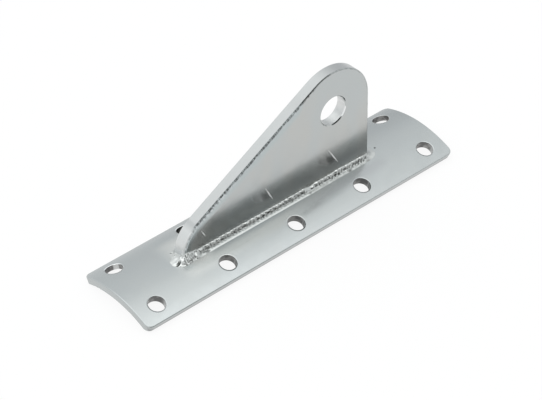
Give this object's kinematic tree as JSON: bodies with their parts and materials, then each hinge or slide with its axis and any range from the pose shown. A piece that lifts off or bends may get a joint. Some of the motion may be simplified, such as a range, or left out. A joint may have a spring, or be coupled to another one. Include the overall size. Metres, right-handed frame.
{
  "type": "welded mast vang bracket",
  "caption": "Welded stainless mast bracket for a sailing boat's vang: a triangular pin lug on edge along a curved base plate, with fastener holes down both long sides.",
  "frame": {"origin": "under the middle of the base plate, level with its two long lower edges", "axes": "+X along the mast from the lug's low toe to its tall heel, +Y along the pin hole, +Z away from the mast"},
  "size_m": [0.15, 0.038, 0.0552],
  "materials": {
    "satin_stainless": "satin, lightly tumbled",
    "weld_metal": "as welded, rippled and cleaned"
  },
  "bodies": {
    "root": {"base_plate": "satin_stainless", "vang_lug": "satin_stainless", "right_side_weld": "weld_metal", "left_side_weld": "weld_metal", "toe_weld": "weld_metal", "heel_weld": "weld_metal"}
  },
  "joints": []
}
